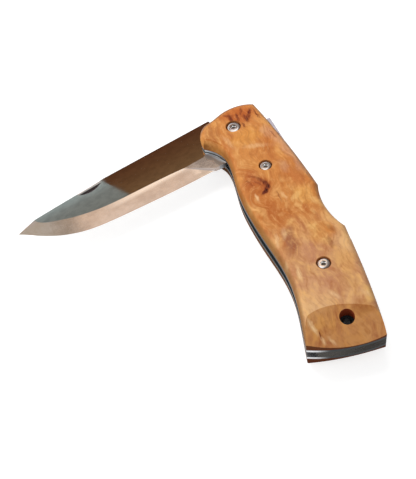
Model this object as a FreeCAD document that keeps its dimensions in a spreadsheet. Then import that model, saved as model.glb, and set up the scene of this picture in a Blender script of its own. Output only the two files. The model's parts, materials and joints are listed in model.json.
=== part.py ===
import FreeCAD, Part
import math
import os
import Sketcher

# Lock-back folding knife with wooden scales, half open, lying on its far scale.
# Plan places are counted from the blade pivot: x along the handle to the butt, y to the handle's back.
# z is the height above the resting face. Lengths are millimetres and angles degrees.
SIZES = {
    # Layers through the handle
    "scale_thick": 4.7,
    "liner_thick": 1.1,
    "blade_thick": 3.0,
    "washer_room": 0.2,
    "lock_side_gap": 0.1,
    "spring_side_gap": 0.2,
    # Handle outline
    "front_reach": 11.4,
    "butt_reach": 105.8,
    "back_height": 19.25,
    "lobe_depth": 13.9,
    # The document's origin on the resting face, in the middle of the grip
    "grip_middle_x": 46.0,
    "grip_middle_y": 4.0,
    # Shaping of the scales: rounded edges, and a sloping hollow facet at the butt
    "edge_round": 2.5,
    "facet_length": 14.3,
    "facet_drop": 7.6,
    "facet_angle": 14.9,
    "facet_skew": 20.0,
    "facet_hollow": 54.5,
    # Screws
    "mid_screw_x": 24.9,
    "mid_screw_y": 4.0,
    "rear_screw_inset": 31.1,
    "rear_screw_y": 5.6,
    "scale_head_dia": 4.5,
    "scale_shank_dia": 2.5,
    "pivot_head_dia": 5.5,
    "pivot_shank_dia": 3.0,
    "pivot_shank_gap": 0.8,
    "head_height": 1.6,
    "head_rim": 0.9,
    "head_land_dia": 2.9,
    "head_sink": 0.3,
    "socket_flats": 2.0,
    "socket_depth": 0.9,
    # Lanyard hole
    "lanyard_inset": 9.7,
    "lanyard_y": 4.2,
    "lanyard_dia": 3.5,
    "lanyard_scale_dia": 5.0,
    # Pivot barrel and washers
    "barrel_dia": 5.0,
    "washer_dia": 10.0,
    "washer_play": 0.03,
    # Blade
    "tip_reach": 93.4,
    "spine_drop": 14.45,
    "edge_rise": 10.0,
    "heel_reach": 11.2,
    "heel_rise": 9.6,
    "ricasso_thick": 2.0,
    "tang_radius": 10.6,
    "half_open_angle": 78.5,
    "full_open_angle": 174.0,
    "nick_reach": 60.6,
    "nick_inset": 3.4,
    "nick_length": 9.8,
    "nick_width": 1.5,
    "nick_depth": 0.7,
    "nick_turn": 4.0,
    # Lock bar, drawn as it sits when it is down in the tang's notch
    "lock_pin_x": 25.8,
    "lock_pin_drop": 5.65,
    "lock_pin_dia": 3.0,
    "lock_boss_radius": 3.3,
    "lock_tail_reach": 32.2,
    "lock_tail_depth": 3.9,
    "lock_neck_depth": 2.6,
    "tooth_front": 2.8,
    "tooth_radius": 7.8,
    "nose_overhang": 1.0,
    "notch_relief": 0.5,
    "notch_lean": 1.7,
    "tooth_clearance": 0.2,
    "ride_gap": 0.12,
    # Back spacer, its pins and the lock spring
    "spacer_tail_gap": 1.5,
    "spacer_foot_y": 8.6,
    "spacer_pin_dia": 3.0,
    "front_spacer_pin_drop": 5.75,
    "rear_spacer_pin_drop": 7.75,
    "spring_thick": 0.8,
    "spring_reach": 12.5,
    "spring_root": 5.6,
    "spring_drop": 0.8,
    "spring_gap": 0.1,
    # Fits
    "running_clearance": 0.03,
    "seat_clearance": 0.02,
    "shank_clearance": 0.1,
    "head_clearance": 0.35,
    # How far a cut runs past what it cuts
    "overrun": 5.0,
}

doc = FreeCAD.newDocument("pocket_knife")
sheet = doc.addObject("Spreadsheet::Sheet", "Dims")
for row, (alias, number) in enumerate(SIZES.items(), start=1):
    sheet.set(f"A{row}", alias)
    sheet.set(f"B{row}", str(number))
    sheet.setAlias(f"B{row}", alias)
doc.recompute()

# Heights of the layers, as formulas of the sheet's cells
SLOT_WIDTH = "(Dims.blade_thick + 2 * Dims.washer_room)"
FAR_LINER = "Dims.scale_thick"
SLOT_FLOOR = f"({FAR_LINER} + Dims.liner_thick)"
SLOT_MIDDLE = f"({SLOT_FLOOR} + {SLOT_WIDTH} / 2)"
SLOT_ROOF = f"({SLOT_FLOOR} + {SLOT_WIDTH})"
NEAR_SCALE = f"({SLOT_ROOF} + Dims.liner_thick)"
NEAR_FACE = f"({NEAR_SCALE} + Dims.scale_thick)"
PACK_THICK = f"(2 * Dims.liner_thick + {SLOT_WIDTH})"
HEAD_DEPTH = "(Dims.head_height + Dims.head_sink)"
SLANT = math.sin(math.radians(45))

# Where the spacer starts along the handle
SPACER_FRONT = "(Dims.lock_pin_x + Dims.lock_tail_reach + Dims.spacer_tail_gap)"

# Outline tables. x shares are of butt_reach behind the pivot and of front_reach ahead of it,
# y shares of back_height above the pivot and of lobe_depth below it.
front_corner_shares = (-0.816, 0.636)
lobe_tip_shares = (0.025, -0.989)
belly_corner_shares = (0.95, -0.856)
back_corner_shares = (1.0, 0.695)
notch_rear_shares = (0.589, 1.0)
notch_front_shares = (0.386, 0.953)
front_shares = [(-1.0, 0.322), (-0.886, -0.18), (-0.693, -0.504), (-0.526, -0.806), (-0.105, -1.0)]
belly_shares = [(0.053, -0.77), (0.094, -0.601), (0.149, -0.554), (0.205, -0.594), (0.263, -0.658),
                (0.323, -0.694), (0.413, -0.676), (0.501, -0.619), (0.588, -0.54), (0.668, -0.494),
                (0.743, -0.518), (0.832, -0.64), (0.894, -0.755)]
butt_via_shares = (0.9915, 0.057)
rear_back_via_shares = (0.804, 0.875)
notch_via_shares = (0.478, 0.862)
front_back_via_shares = (0.168, 0.847)
# Room that the spacer leaves for the folded blade
blade_room_shares = [(0.685, 0.344), (0.751, 0.248), (0.808, 0.086), (0.86, -0.21)]
blade_room_end_share = 0.917
# Places of the spacer's pins along it, from its front to the butt
front_spacer_pin_share = 0.173
rear_spacer_pin_share = 0.572

# Blade tables, folded. x shares are of tip_reach, y shares of spine_drop below the pivot and of
# edge_rise above it.
spine_bend_shares = (0.577, -0.905)
tip_shares = (1, -0.606)
clip_shares = [(0.645, -0.854), (0.792, -0.782), (0.916, -0.711)]
edge_shares = [(0.961, -0.401), (0.927, -0.208), (0.892, -0.038), (0.856, 0.165), (0.819, 0.34),
               (0.764, 0.538), (0.653, 0.725), (0.516, 0.823), (0.379, 0.898)]
edge_end_shares = (0.17, 0.945)
plunge_foot_shares = (0.158, 0.92)
ridge_tip_shares = (0.914, -0.712)
flat_clip_shares = [(0.635, -0.859), (0.734, -0.81), (0.844, -0.754)]
ridge_shares = [(0.908, -0.6), (0.895, -0.51), (0.864, -0.385), (0.829, -0.29), (0.784, -0.175),
                (0.734, -0.08), (0.65, 0.037), (0.516, 0.115), (0.387, 0.15)]
ridge_end_shares = (0.269, 0.222)
ridge_turn_shares = (0.263, 0.222)
ridge_root_shares = (0.145, 0.18)
# Corner behind the heel, as shares of heel_reach and heel_rise
tang_heel_shares = (0.87, 1.005)
# Top of the tang, as shares of tang_radius
tang_flat_shares = [(0.094, 0.764), (-0.33, 0.66)]


def value(formula):
    """Number that a formula of the sheet's cells gives."""
    return float(sheet.evalExpression(formula.replace("Dims.", "")))


def size(alias):
    """Number in one named cell."""
    return float(getattr(sheet, alias))


def handle_point(shares):
    """Plan point of the handle outline from its shares."""
    x_base = size("butt_reach") if shares[0] > 0 else size("front_reach")
    y_base = size("back_height") if shares[1] > 0 else size("lobe_depth")
    return FreeCAD.Vector(shares[0] * x_base, shares[1] * y_base, 0)


def blade_point(shares):
    """Plan point of the folded blade from its shares."""
    y_base = size("edge_rise") if shares[1] > 0 else size("spine_drop")
    return FreeCAD.Vector(shares[0] * size("tip_reach"), shares[1] * y_base, 0)


def tang_point(shares):
    """Plan point of the folded blade's tang from shares of its radius."""
    return FreeCAD.Vector(shares[0] * size("tang_radius"), shares[1] * size("tang_radius"), 0)


def heel_point(shares):
    """Plan point behind the folded blade's heel from shares of its reach and rise."""
    return FreeCAD.Vector(shares[0] * size("heel_reach"), shares[1] * size("heel_rise"), 0)


def turned(point, degrees, centre=FreeCAD.Vector(0, 0, 0)):
    """Plan point turned anticlockwise about a centre."""
    spin = FreeCAD.Rotation(FreeCAD.Vector(0, 0, 1), degrees)
    return centre + spin.multVec(point - centre)


def line(start, end):
    return Part.LineSegment(start, end)


def arc(start, via, end):
    return Part.Arc(start, via, end)


def spline(points):
    curve = Part.BSplineCurve()
    curve.interpolate(points)
    return curve


def polyline(points):
    """Straight runs through the points in turn."""
    return [line(start, end) for start, end in zip(points, points[1:])]


def height_on(curve, x):
    """y at which a back curve passes over x."""
    far = size("butt_reach")
    upright = line(FreeCAD.Vector(x, -far, 0), FreeCAD.Vector(x, far, 0)).toShape()
    touch = curve.toShape().distToShape(upright)[1][0][0]
    return touch.y


def bind(target, formulas):
    """Bind an object's sizes to formulas of the sheet's cells."""
    for name, formula in formulas.items():
        target.setExpression(name, formula)


def seat(target, x="0", y="0", z="0"):
    """Place an object by its plan place from the pivot and its height."""
    bind(target, {
        "Placement.Base.x": f"{x} - Dims.grip_middle_x",
        "Placement.Base.y": f"{y} - Dims.grip_middle_y",
        "Placement.Base.z": z,
    })


def new_body(label):
    body = doc.addObject("PartDesign::Body", label)
    body.Label = label
    return body


def new_sketch(body, name, plane="XY_Plane", level="0"):
    """Sketch on one of the body's own origin planes, raised by a formula."""
    sketch = body.newObject("Sketcher::SketchObject", name)
    support = [feature for feature in body.Origin.OriginFeatures if feature.Role == plane][0]
    sketch.AttachmentSupport = [(support, "")]
    sketch.MapMode = "FlatFace"
    sketch.setExpression("AttachmentOffset.Base.z", level)
    return sketch


def draw(sketch, curves):
    for curve in curves:
        sketch.addGeometry(curve, False)
    doc.recompute()


def draw_circle(sketch, x, y, radius):
    """Circle whose place and radius are bound to formulas."""
    centre = FreeCAD.Vector(value(x), value(y), 0)
    circle = sketch.addGeometry(Part.Circle(centre, FreeCAD.Vector(0, 0, 1), value(radius)), False)
    for kind, formula in (("DistanceX", x), ("DistanceY", y)):
        limit = Sketcher.Constraint(kind, -1, 1, circle, 3, value(formula))
        sketch.setExpression(f"Constraints[{sketch.addConstraint(limit)}]", formula)
    limit = Sketcher.Constraint("Radius", circle, value(radius))
    sketch.setExpression(f"Constraints[{sketch.addConstraint(limit)}]", radius)


def pad(body, sketch, length, midplane=False):
    feature = body.newObject("PartDesign::Pad", sketch.Name + "_pad")
    feature.Profile = sketch
    feature.Midplane = midplane
    bind(feature, {"Length": length})
    doc.recompute()
    return feature


def pocket(body, sketch, length=None, reverse=True, midplane=False):
    """Cut a sketch through the body, or to a depth, and see that it took material away."""
    before = body.Shape.Volume
    feature = body.newObject("PartDesign::Pocket", sketch.Name + "_cut")
    feature.Profile = sketch
    feature.Reversed = reverse
    feature.Midplane = midplane
    if length is None:
        feature.Type = "ThroughAll"
    else:
        feature.Type = "Length"
        bind(feature, {"Length": length})
    doc.recompute()
    if not body.Shape.Volume < before:
        raise RuntimeError(f"{feature.Name} cuts nothing")
    return feature


def drill(body, name, holes, **cut):
    """Cut round holes, each given as formulas for x, y and radius."""
    sketch = new_sketch(body, name)
    for x, y, radius in holes:
        draw_circle(sketch, x, y, radius)
    doc.recompute()
    return pocket(body, sketch, **cut)


def radius_of(alias, clearance=None):
    """Formula for a hole's or pin's radius, with an optional clearance."""
    room = f" + Dims.{clearance}" if clearance else ""
    return f"(Dims.{alias} / 2{room})"


def from_butt(alias):
    """Formula for the distance behind the pivot of a place given from the butt."""
    return f"(Dims.butt_reach - Dims.{alias})"


def along_spacer(share):
    """Formula for the distance behind the pivot of a place given as a share of the spacer's length."""
    return f"({SPACER_FRONT} + {share} * (Dims.butt_reach - {SPACER_FRONT}))"


def below_back(alias):
    """Formula for the y of a place given from the top of the back."""
    return f"(Dims.back_height - Dims.{alias})"


# Corners and curves that the handle's pieces share
front_corner = handle_point(front_corner_shares)
lobe_tip = handle_point(lobe_tip_shares)
belly_corner = handle_point(belly_corner_shares)
back_corner = handle_point(back_corner_shares)
notch_rear = handle_point(notch_rear_shares)
notch_front = handle_point(notch_front_shares)
front_back = arc(notch_front, handle_point(front_back_via_shares), front_corner)
handle_outline = [
    spline([front_corner, *map(handle_point, front_shares), lobe_tip]),
    spline([lobe_tip, *map(handle_point, belly_shares), belly_corner]),
    arc(belly_corner, handle_point(butt_via_shares), back_corner),
    arc(back_corner, handle_point(rear_back_via_shares), notch_rear),
    arc(notch_rear, handle_point(notch_via_shares), notch_front),
    front_back,
]

pivot = ("0", "0")
mid_screw = ("Dims.mid_screw_x", "Dims.mid_screw_y")
rear_screw = (from_butt("rear_screw_inset"), "Dims.rear_screw_y")
lanyard = (from_butt("lanyard_inset"), "Dims.lanyard_y")
lock_pin = ("Dims.lock_pin_x", below_back("lock_pin_drop"))
spacer_pins = {
    "front": (along_spacer(front_spacer_pin_share), below_back("front_spacer_pin_drop")),
    "rear": (along_spacer(rear_spacer_pin_share), below_back("rear_spacer_pin_drop")),
}
lanyard_hole = (*lanyard, radius_of("lanyard_dia"))
spacer_pin_holes = [(*place, radius_of("spacer_pin_dia", "seat_clearance")) for place in spacer_pins.values()]


def make_liner(label, level):
    """Steel side plate, tapped for the scale screws and bored for the pins."""
    body = new_body(label)
    outline = new_sketch(body, label + "_outline")
    draw(outline, handle_outline)
    pad(body, outline, "Dims.liner_thick")
    drill(body, label + "_holes", [
        (*pivot, radius_of("barrel_dia", "seat_clearance")),
        (*mid_screw, radius_of("scale_shank_dia", "seat_clearance")),
        (*rear_screw, radius_of("scale_shank_dia", "seat_clearance")),
        (*lock_pin, radius_of("lock_pin_dia", "seat_clearance")),
        *spacer_pin_holes,
        lanyard_hole,
    ])
    seat(body, z=level)
    return body


def make_scale(label):
    """Wooden side with rounded edges, a hollow facet at the butt, sunk screw seats and a lanyard hole."""
    body = new_body(label)
    outline = new_sketch(body, label + "_outline")
    draw(outline, handle_outline)
    blank = pad(body, outline, "Dims.scale_thick")
    top = size("scale_thick")
    tolerance = size("seat_clearance")
    rim = []
    for number, edge in enumerate(blank.Shape.Edges, start=1):
        box = edge.BoundBox
        at_butt = box.XMin > belly_corner.x - tolerance
        if box.ZMin > top - tolerance and not at_butt:
            rim.append(f"Edge{number}")
    rounding = body.newObject("PartDesign::Fillet", label + "_round")
    rounding.Base = (blank, rim)
    bind(rounding, {"Radius": "Dims.edge_round"})
    doc.recompute()
    facet = new_sketch(body, label + "_facet", plane="YZ_Plane", level=from_butt("facet_length"))
    slope = FreeCAD.Rotation(FreeCAD.Vector(1, 0, 0), size("facet_angle"))
    skew = FreeCAD.Rotation(FreeCAD.Vector(0, 1, 0), size("facet_skew"))
    facet.AttachmentOffset = FreeCAD.Placement(FreeCAD.Vector(-size("facet_drop"), top, 0), skew * slope)
    draw_circle(facet, "0", "Dims.facet_hollow", "Dims.facet_hollow")
    pocket(body, facet, length="4 * Dims.facet_length", midplane=True)
    drill(body, label + "_holes", [
        (*pivot, radius_of("pivot_shank_dia", "shank_clearance")),
        (*mid_screw, radius_of("scale_shank_dia", "shank_clearance")),
        (*rear_screw, radius_of("scale_shank_dia", "shank_clearance")),
        (*lanyard, radius_of("lanyard_scale_dia")),
    ])
    seats = new_sketch(body, label + "_seats", level="Dims.scale_thick")
    draw_circle(seats, *pivot, radius_of("pivot_head_dia", "head_clearance"))
    draw_circle(seats, *mid_screw, radius_of("scale_head_dia", "head_clearance"))
    draw_circle(seats, *rear_screw, radius_of("scale_head_dia", "head_clearance"))
    doc.recompute()
    pocket(body, seats, length=HEAD_DEPTH, reverse=False)
    seat(body, z=NEAR_SCALE)
    return body


def make_screw(label, place, head_dia, shank_dia, shank_length):
    """Button-head screw with a six-sided socket, its head's underside at its own z of zero."""
    body = new_body(label)
    head = size(head_dia) / 2
    shank = size(shank_dia) / 2
    reach = value(shank_length)
    height = size("head_height")
    rim = size("head_rim")
    land = size("head_land_dia") / 2
    crown = FreeCAD.Vector(land + (head - land) * SLANT, rim + (height - rim) * SLANT, 0)
    rim_top = FreeCAD.Vector(head, rim, 0)
    land_edge = FreeCAD.Vector(land, height, 0)
    outline = [
        *polyline([land_edge, FreeCAD.Vector(0, height, 0), FreeCAD.Vector(0, -reach, 0),
                   FreeCAD.Vector(shank, -reach, 0), FreeCAD.Vector(shank, 0, 0), FreeCAD.Vector(head, 0, 0), rim_top]),
        arc(rim_top, crown, land_edge),
    ]
    profile = new_sketch(body, label + "_profile", plane="XZ_Plane")
    draw(profile, outline)
    turn = body.newObject("PartDesign::Revolution", label + "_turn")
    turn.Profile = profile
    turn.ReferenceAxis = (profile, ["V_Axis"])
    turn.Angle = 360
    doc.recompute()
    socket = new_sketch(body, label + "_socket", level="Dims.head_height")
    corner = FreeCAD.Vector(size("socket_flats") / 2 / math.cos(math.radians(30)), 0, 0)
    draw(socket, polyline([turned(corner, 60 * number) for number in range(7)]))
    pocket(body, socket, length="Dims.socket_depth", reverse=False)
    seat(body, *place, z=f"{NEAR_FACE} - {HEAD_DEPTH}")
    return body


def make_mirror(label, source):
    """Far piece, the mirror of a near one across the middle of the slot."""
    mirror = doc.addObject("Part::Mirroring", label)
    mirror.Label = label
    mirror.Source = source
    mirror.Normal = FreeCAD.Vector(0, 0, 1)
    bind(mirror, {"Base.z": SLOT_MIDDLE})
    return mirror


def make_pin(label, place, diameter):
    """Plain pin through both liners, flush with their outer faces."""
    pin = doc.addObject("Part::Cylinder", label)
    pin.Label = label
    bind(pin, {"Radius": radius_of(diameter), "Height": PACK_THICK})
    seat(pin, *place, z=FAR_LINER)
    return pin


def make_ring(label, outer, inner, height, level):
    """Plain ring about the pivot."""
    body = new_body(label)
    section = new_sketch(body, label + "_section")
    draw_circle(section, *pivot, outer)
    draw_circle(section, *pivot, inner)
    doc.recompute()
    pad(body, section, height)
    seat(body, z=level)
    return body


# Lock bar and tang: the tooth sits down in the tang's notch when the blade is fully open, and rides
# on the tang's round back in between, which lifts the bar's nose and pushes its tail down.
pin_centre = FreeCAD.Vector(*map(value, lock_pin), 0)
tooth_rear = FreeCAD.Vector(0, size("tooth_radius"), 0)
tooth_drop = math.sqrt(size("tooth_radius") ** 2 - size("tooth_front") ** 2)
tooth_front = FreeCAD.Vector(-size("tooth_front"), tooth_drop, 0)
notch_floor = size("tooth_radius") - size("tooth_clearance")


def angle_at_pin(distance):
    """Angle at the lock pin between the pivot and the tooth's rear corner that far from the pivot."""
    arm = (pin_centre - tooth_rear).Length
    span = pin_centre.Length
    return math.degrees(math.acos((arm ** 2 + span ** 2 - distance ** 2) / (2 * arm * span)))


lock_lift = angle_at_pin(size("tang_radius") + size("ride_gap")) - angle_at_pin(size("tooth_radius"))
tail_end = size("lock_pin_x") + size("lock_tail_reach")
tail_top = handle_point(notch_front_shares).y
tail_under = tail_top - size("lock_tail_depth")
spacer_front = value(SPACER_FRONT)
tail_pressed = turned(FreeCAD.Vector(tail_end, tail_under, 0), -lock_lift, pin_centre)
spring_seat = tail_pressed.y - size("spring_drop")


def make_lock_bar(label):
    """Rocking bar along the back, with a tooth for the tang and a tail for the thumb to press."""
    body = new_body(label)
    boss = size("lock_boss_radius")
    nose_x = -size("tooth_front") - size("nose_overhang")
    nose_top = FreeCAD.Vector(nose_x, height_on(front_back, nose_x), 0)
    neck_y = height_on(front_back, 0) - size("lock_neck_depth")
    neck_end = FreeCAD.Vector(size("tang_radius"), neck_y, 0)
    boss_front = pin_centre + FreeCAD.Vector(-boss, -boss, 0)
    boss_rear = pin_centre + FreeCAD.Vector(boss, -boss, 0)
    tail_bend = FreeCAD.Vector(size("lock_pin_x") + size("lock_tail_reach") / 2, tail_under, 0)
    outline = new_sketch(body, label + "_outline")
    draw(outline, [
        *polyline([nose_top, tooth_front, tooth_rear, FreeCAD.Vector(0, neck_y, 0), neck_end, boss_front,
                   boss_rear, tail_bend, FreeCAD.Vector(tail_end, tail_under, 0),
                   FreeCAD.Vector(tail_end, tail_top, 0), notch_front]),
        arc(notch_front, handle_point(front_back_via_shares), nose_top),
    ])
    pad(body, outline, f"{SLOT_WIDTH} - 2 * Dims.lock_side_gap", midplane=True)
    drill(body, label + "_bore", [(*lock_pin, radius_of("lock_pin_dia", "running_clearance"))], midplane=True)
    middle = FreeCAD.Vector(size("grip_middle_x"), size("grip_middle_y"), -value(SLOT_MIDDLE))
    spin = FreeCAD.Rotation(FreeCAD.Vector(0, 0, 1), -lock_lift)
    body.Placement = FreeCAD.Placement(turned(FreeCAD.Vector(0, 0, 0), -lock_lift, pin_centre) - middle, spin)
    return body


def make_spacer(label):
    """Steel filler between the liners along the back and round the butt, with a slot for the spring."""
    body = new_body(label)
    outline = new_sketch(body, label + "_outline")
    draw(outline, handle_outline)
    pad(body, outline, SLOT_WIDTH)
    overrun = size("overrun")
    foot_y = -size("spacer_foot_y")
    foot_top = FreeCAD.Vector(spacer_front, spring_seat - 2 * size("spring_thick"), 0)
    room_end = FreeCAD.Vector(blade_room_end_share * size("butt_reach"), foot_y, 0)
    low = -size("lobe_depth") - overrun
    high = size("back_height") + overrun
    room = new_sketch(body, label + "_blade_room")
    draw(room, [
        spline([foot_top, *map(handle_point, blade_room_shares), room_end]),
        *polyline([room_end, FreeCAD.Vector(size("butt_reach") + overrun, foot_y, 0),
                   FreeCAD.Vector(size("butt_reach") + overrun, low, 0),
                   FreeCAD.Vector(-size("front_reach") - overrun, low, 0),
                   FreeCAD.Vector(-size("front_reach") - overrun, high, 0),
                   FreeCAD.Vector(spacer_front, high, 0), foot_top]),
    ])
    pocket(body, room)
    half = size("spring_thick") / 2 + size("seat_clearance")
    slot_end = spacer_front + size("spring_root") + size("seat_clearance")
    slot = new_sketch(body, label + "_spring_slot")
    corners = [
        FreeCAD.Vector(spacer_front - overrun, spring_seat - half, 0),
        FreeCAD.Vector(slot_end, spring_seat - half, 0),
        FreeCAD.Vector(slot_end, spring_seat + half, 0),
        FreeCAD.Vector(spacer_front - overrun, spring_seat + half, 0),
    ]
    draw(slot, polyline([*corners, corners[0]]))
    pocket(body, slot)
    drill(body, label + "_holes", [*spacer_pin_holes, lanyard_hole])
    seat(body, z=SLOT_FLOOR)
    return body


def make_spring(label):
    """Leaf spring held in the spacer, curving up to press on the underside of the lock bar's tail."""
    body = new_body(label)
    half = size("spring_thick") / 2
    pressed = turned(FreeCAD.Vector(spacer_front - size("spring_reach"), tail_under, 0), -lock_lift, pin_centre)
    rise = pressed.y - size("spring_gap") - half - spring_seat
    bend = (size("spring_reach") ** 2 + rise ** 2) / (2 * rise)
    swing = math.degrees(math.asin(size("spring_reach") / bend))
    centre = FreeCAD.Vector(spacer_front, spring_seat + bend, 0)

    def on_leaf(offset, degrees):
        return turned(FreeCAD.Vector(spacer_front, spring_seat + offset, 0), -degrees, centre)

    tail = spacer_front + size("spring_root")
    section = new_sketch(body, label + "_section")
    draw(section, [
        arc(on_leaf(half, swing), on_leaf(half, swing / 2), on_leaf(half, 0)),
        *polyline([on_leaf(half, 0), FreeCAD.Vector(tail, spring_seat + half, 0),
                   FreeCAD.Vector(tail, spring_seat - half, 0), on_leaf(-half, 0)]),
        arc(on_leaf(-half, 0), on_leaf(-half, swing / 2), on_leaf(-half, swing)),
        line(on_leaf(-half, swing), on_leaf(half, swing)),
    ])
    pad(body, section, f"{SLOT_WIDTH} - 2 * Dims.spring_side_gap", midplane=True)
    seat(body, z=SLOT_MIDDLE)
    return body


def tang_run():
    """Outline of the tang from the heel round the back to the notch and out to the spine."""
    tang = size("tang_radius")
    flat_end = tang_point(tang_flat_shares[-1])
    round_start = FreeCAD.Vector(-math.sqrt(tang ** 2 - flat_end.y ** 2), flat_end.y, 0)
    open_turn = size("full_open_angle")
    wall_front = size("tooth_front") + size("notch_relief")
    front_foot = FreeCAD.Vector(-wall_front, math.sqrt(notch_floor ** 2 - wall_front ** 2), 0)
    wall_rear = size("tooth_clearance")
    rear_foot = FreeCAD.Vector(wall_rear, math.sqrt(notch_floor ** 2 - wall_rear ** 2), 0)
    front_foot = turned(front_foot, open_turn)
    rear_foot = turned(rear_foot, open_turn)
    rear_top = rear_foot * (tang / rear_foot.Length)
    spine_start = FreeCAD.Vector(front_foot.x + size("notch_lean"), -size("spine_drop"), 0)
    curves = [
        *polyline([heel_point(tang_heel_shares), *map(tang_point, tang_flat_shares), round_start]),
        arc(round_start, FreeCAD.Vector(-tang, 0, 0), rear_top),
        *polyline([rear_top, rear_foot, front_foot, spine_start]),
    ]
    return curves, spine_start


def blade_section(depth):
    """Blade outline at a depth below its flat, as a share of half its thickness.

    Depth 0 is the flat, bounded by the grind line, and depth 1 the middle, bounded by the edge.
    """
    heel = FreeCAD.Vector(size("heel_reach"), size("heel_rise"), 0)
    tang_heel = heel_point(tang_heel_shares)
    tang_curves, spine_start = tang_run()

    def between(shares_on_flat, shares_at_edge, share=depth):
        flat_point = blade_point(shares_on_flat)
        return flat_point + (blade_point(shares_at_edge) - flat_point) * share

    spine_bend = blade_point(spine_bend_shares)
    tip = between(ridge_tip_shares, tip_shares)
    clip = [between(*pair) for pair in zip(flat_clip_shares, clip_shares)]
    grind = [between(*pair) for pair in zip(ridge_shares, edge_shares)]
    grind_end = between(ridge_end_shares, edge_end_shares)
    on_ricasso = 1.0 if depth > 0 else 0.0
    plunge_foot = between(ridge_turn_shares, plunge_foot_shares, on_ricasso)
    root = heel if depth > 0 else blade_point(ridge_root_shares)
    return [
        line(spine_start, spine_bend),
        spline([spine_bend, *clip, tip]),
        spline([tip, *grind, grind_end]),
        *polyline([grind_end, plunge_foot, root, tang_heel]),
        *tang_curves,
    ]


def make_blade(label):
    """Hollow-free drop-point blade: flat sides, a ground bevel on each, a lock notch and a nail nick."""
    body = new_body(label + "_blank")
    half = size("blade_thick") / 2
    ricasso_share = 1 - size("ricasso_thick") / size("blade_thick")
    levels = [
        ("-Dims.blade_thick / 2", 0.0),
        ("-Dims.ricasso_thick / 2", ricasso_share),
        ("0", 1.0),
        ("Dims.ricasso_thick / 2", ricasso_share),
        ("Dims.blade_thick / 2", 0.0),
    ]
    sections = []
    for number, (level, depth) in enumerate(levels):
        section = new_sketch(body, f"{label}_section_{number}", level=level)
        draw(section, blade_section(depth))
        sections.append(section)
    loft = body.newObject("PartDesign::AdditiveLoft", label + "_loft")
    loft.Profile = sections[0]
    loft.Sections = sections[1:]
    loft.Ruled = True
    doc.recompute()
    drill(body, label + "_bore", [(*pivot, radius_of("barrel_dia", "running_clearance"))], midplane=True)
    wheel = ((size("nick_length") / 2) ** 2 + size("nick_depth") ** 2) / (2 * size("nick_depth"))
    tilt = math.atan2(size("nick_depth"), size("nick_width"))
    lowest = FreeCAD.Vector(size("nick_reach"), size("nick_inset") - size("spine_drop"), half - size("nick_depth"))
    cutter = doc.addObject("Part::Cylinder", label + "_nick_wheel")
    cutter.Radius = wheel
    bind(cutter, {"Height": "2 * Dims.nick_width"})
    across = turned(FreeCAD.Vector(0, 1, 0), size("nick_turn"))
    upright = FreeCAD.Vector(0, 0, 1)
    up = upright * math.cos(tilt) - across * math.sin(tilt)
    axis = across * math.cos(tilt) + upright * math.sin(tilt)
    cutter.Placement = FreeCAD.Placement(lowest + up * wheel, FreeCAD.Rotation(FreeCAD.Vector(0, 0, 1), axis))
    blade = doc.addObject("Part::Cut", label)
    blade.Label = label
    blade.Base = body
    blade.Tool = cutter
    spin = FreeCAD.Rotation(FreeCAD.Vector(0, 0, 1), -size("half_open_angle"))
    middle = FreeCAD.Vector(size("grip_middle_x"), size("grip_middle_y"), -value(SLOT_MIDDLE))
    blade.Placement = FreeCAD.Placement(-middle, spin)
    return blade


WASHER_THICK = "(Dims.washer_room - Dims.washer_play)"
SCALE_SHANK = f"(Dims.scale_thick - {HEAD_DEPTH} + Dims.liner_thick)"
PIVOT_SHANK = f"(Dims.scale_thick - {HEAD_DEPTH} + ({PACK_THICK} - Dims.pivot_shank_gap) / 2)"
BARREL_RADIUS = radius_of("barrel_dia")
WASHER_BORE = radius_of("barrel_dia", "shank_clearance")
WASHER_RADIUS = radius_of("washer_dia")

pieces = [
    make_blade("blade"),
    make_lock_bar("lock_bar"),
    make_spacer("back_spacer"),
    make_spring("lock_spring"),
    make_liner("liner_near", SLOT_ROOF),
    make_liner("liner_far", FAR_LINER),
    make_ring("pivot_barrel", BARREL_RADIUS, radius_of("pivot_shank_dia", "seat_clearance"), PACK_THICK, FAR_LINER),
    make_ring("washer_near", WASHER_RADIUS, WASHER_BORE, WASHER_THICK, f"{SLOT_ROOF} - {WASHER_THICK}"),
    make_ring("washer_far", WASHER_RADIUS, WASHER_BORE, WASHER_THICK, SLOT_FLOOR),
    make_pin("lock_bar_pin", lock_pin, "lock_pin_dia"),
    make_pin("spacer_pin_front", spacer_pins["front"], "spacer_pin_dia"),
    make_pin("spacer_pin_rear", spacer_pins["rear"], "spacer_pin_dia"),
]
near_pieces = {
    "scale": make_scale("scale_near"),
    "pivot_screw": make_screw("pivot_screw_near", pivot, "pivot_head_dia", "pivot_shank_dia", PIVOT_SHANK),
    "mid_screw": make_screw("mid_screw_near", mid_screw, "scale_head_dia", "scale_shank_dia", SCALE_SHANK),
    "rear_screw": make_screw("rear_screw_near", rear_screw, "scale_head_dia", "scale_shank_dia", SCALE_SHANK),
}
far_pieces = [make_mirror(name + "_far", piece) for name, piece in near_pieces.items()]
pieces += [*near_pieces.values(), *far_pieces]

doc.recompute()
for thing in doc.Objects:
    if "Invalid" in thing.State or "Error" in thing.State:
        raise RuntimeError(f"{thing.Name} failed: {thing.State}")
for piece in pieces:
    if piece.Shape.isNull() or not piece.Shape.isValid() or len(piece.Shape.Solids) != 1:
        raise RuntimeError(f"{piece.Label} is not one valid solid")

os.makedirs("parts", exist_ok=True)
for piece in pieces:
    piece.Shape.exportStep(f"parts/{piece.Label}.step")
    print(piece.Label, round(piece.Shape.Volume, 1))
print("lock bar lifted by", round(lock_lift, 3), "degrees")
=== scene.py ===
import json
import math

import bpy
from mathutils import Matrix, Vector


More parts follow.
